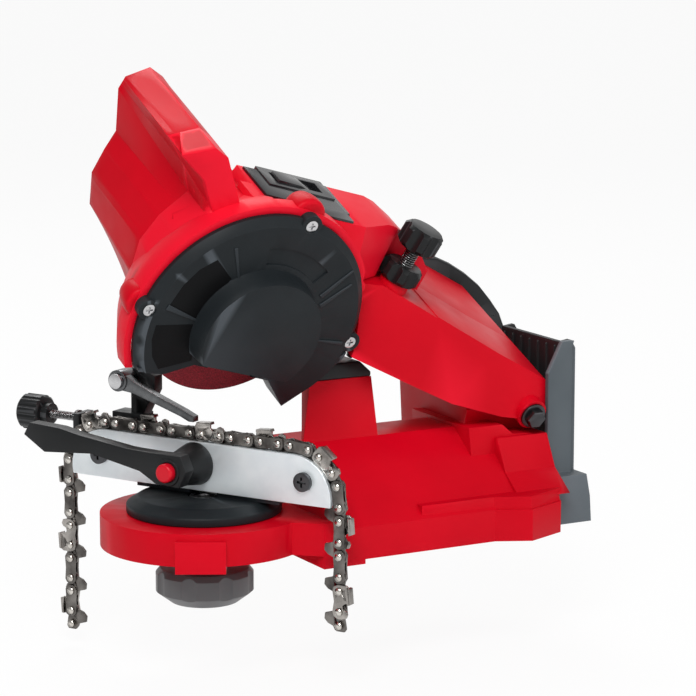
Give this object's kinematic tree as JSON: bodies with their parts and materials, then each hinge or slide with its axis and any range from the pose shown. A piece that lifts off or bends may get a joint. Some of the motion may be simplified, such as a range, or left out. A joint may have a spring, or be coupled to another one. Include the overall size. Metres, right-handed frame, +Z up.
{
  "type": "electric chainsaw sharpener",
  "caption": "Bench chainsaw sharpener with a tilted grinding head on a hinged arm, a swivel vise holding a length of saw chain, a chain stop and a battery slide.",
  "frame": {"origin": "centre of the four bench screws, on the underside of the base", "axes": "+Z up from the bench, +X towards the battery tower at the rear, -Y towards the operator's right hand"},
  "size_m": [0.3063, 0.2075, 0.3235],
  "materials": {
    "red_plastic": "satin moulded",
    "dark_plastic": "fine textured moulded",
    "black_plastic": "moulded",
    "gloss_black": "polished",
    "red_button": "satin moulded",
    "steel": "bright zinc plated",
    "black_steel": "black oxide",
    "zinc_plate": "zinc plated sheet",
    "chain_steel": "oiled",
    "cutter_steel": "chromed top",
    "rivet_steel": "peened",
    "abrasive": "vitrified grit",
    "rotor_steel": "laminated",
    "magnet": "ferrite",
    "brass": "turned"
  },
  "bodies": {
    "base": {"base_housing": "red_plastic", "bench_inserts": "brass", "pillar_cap": "black_plastic", "battery_tower": "black_plastic", "battery_slide": "black_plastic", "battery_terminals": "brass", "pivot_washers": "black_steel", "pivot_bolt": "black_steel", "pivot_nut": "black_steel", "pivot_bushes": "brass"},
    "turntable": {"turntable": "dark_plastic", "swivel_bolt": "steel", "vise_bracket": "dark_plastic", "front_plate": "zinc_plate", "back_plate": "zinc_plate", "plate_screws": "black_steel", "plate_spacers": "steel", "plate_nuts": "steel", "clamp_bolt": "steel", "chain_drive_links": "chain_steel", "chain_tie_straps": "chain_steel", "chain_cutters": "cutter_steel", "chain_rivets": "rivet_steel", "stop_bracket": "black_plastic"},
    "swivel_knob": {"swivel_knob": "black_plastic", "swivel_washer": "steel"},
    "clamp_lever": {"clamp_lever": "black_plastic"},
    "lever_button": {"lever_button": "red_button"},
    "stop_screw": {"stop_rod": "steel", "stop_knob": "black_plastic"},
    "stop_carriage": {"stop_carriage": "black_plastic", "pawl_pin": "steel"},
    "stop_pawl": {"stop_pawl": "zinc_plate"},
    "head": {"head_housing": "red_plastic", "wheel_cover": "dark_plastic", "cover_screws": "steel", "switch_frame": "gloss_black", "motor_housing": "red_plastic", "motor_can": "steel", "motor_magnets": "magnet", "motor_end_cap": "zinc_plate", "spindle_bearings": "steel", "arm_near_shell": "red_plastic", "arm_far_shell": "red_plastic", "arm_screws": "steel", "hinge_cover": "black_plastic"},
    "spindle": {"spindle": "steel", "wheel_flanges": "steel", "grinding_wheel": "abrasive", "wheel_nut": "steel", "rotor": "rotor_steel"},
    "switch_rocker": {"switch_rocker": "gloss_black"},
    "depth_tip": {"depth_tip": "steel"},
    "depth_screw": {"depth_screw": "steel", "depth_knob": "black_plastic"},
    "depth_lock_knob": {"depth_lock_knob": "black_plastic"}
  },
  "joints": [
    {"name": "turntable_swivel", "type": "hinge", "parent": "base", "child": "turntable", "pos_m": [-0.12, 0, 0.0228], "axis": [0, 0, 1], "range_deg": [-65, 5]},
    {"name": "swivel_knob_turn", "type": "hinge", "parent": "turntable", "child": "swivel_knob", "pos_m": [-0.12, 0, -0.01], "axis": [0, 0, 1], "range_deg": [0, 180]},
    {"name": "clamp_lever_swing", "type": "hinge", "parent": "turntable", "child": "clamp_lever", "pos_m": [-0.13016, -0.0024, 0.049], "axis": [-0.866, -0.5, 0], "range_deg": [-30, 10]},
    {"name": "lever_button_press", "type": "slide", "parent": "clamp_lever", "child": "lever_button", "axis": [0.866, 0.5, 0], "range_m": [0, 0.002], "stiffness_N_per_m": 300},
    {"name": "stop_screw_turn", "type": "hinge", "parent": "turntable", "child": "stop_screw", "pos_m": [-0.15961, 0.0926, 0.0625], "axis": [0.5, -0.866, 0], "range_deg": [0, 2881]},
    {"name": "stop_carriage_slide", "type": "slide", "parent": "turntable", "child": "stop_carriage", "axis": [0.5, -0.866, 0], "range_m": [-0.008, 0]},
    {"name": "stop_pawl_lift", "type": "hinge", "parent": "stop_carriage", "child": "stop_pawl", "pos_m": [-0.1475, 0.04763, 0.0897], "axis": [-0.866, -0.5, 0], "range_deg": [0, 12]},
    {"name": "head_lift", "type": "hinge", "parent": "base", "child": "head", "pos_m": [0.0705, 0.00407, 0.08044], "axis": [0, 0.9135, 0.4067], "range_deg": [0, 25]},
    {"name": "spindle_spin", "type": "hinge", "parent": "head", "child": "spindle", "pos_m": [-0.1117, -0.022, 0.139], "axis": [0, -0.9135, -0.4067], "continuous": true},
    {"name": "switch_rock", "type": "hinge", "parent": "head", "child": "switch_rocker", "pos_m": [-0.07669, -0.02267, 0.19951], "axis": [0, -0.9135, -0.4067], "range_deg": [0, 16]},
    {"name": "depth_tip_slide", "type": "slide", "parent": "head", "child": "depth_tip", "axis": [0.3534, -0.3805, 0.8546], "range_m": [0, 0.012]},
    {"name": "depth_screw_turn", "type": "hinge", "parent": "depth_tip", "child": "depth_screw", "pos_m": [-0.0327, -0.00451, 0.09972], "axis": [0.3534, -0.3805, 0.8546], "range_deg": [0, 3457]},
    {"name": "depth_lock_turn", "type": "hinge", "parent": "head", "child": "depth_lock_knob", "pos_m": [-0.0115, -0.02734, 0.15099], "axis": [0.3534, -0.3805, 0.8546], "range_deg": [0, 180]}
  ],
  "couplings": [
    {"joint": "stop_screw_turn", "follows": "stop_carriage_slide", "rad_per_m": -6283.2},
    {"joint": "depth_screw_turn", "follows": "depth_tip_slide", "rad_per_m": 5026.5}
  ]
}
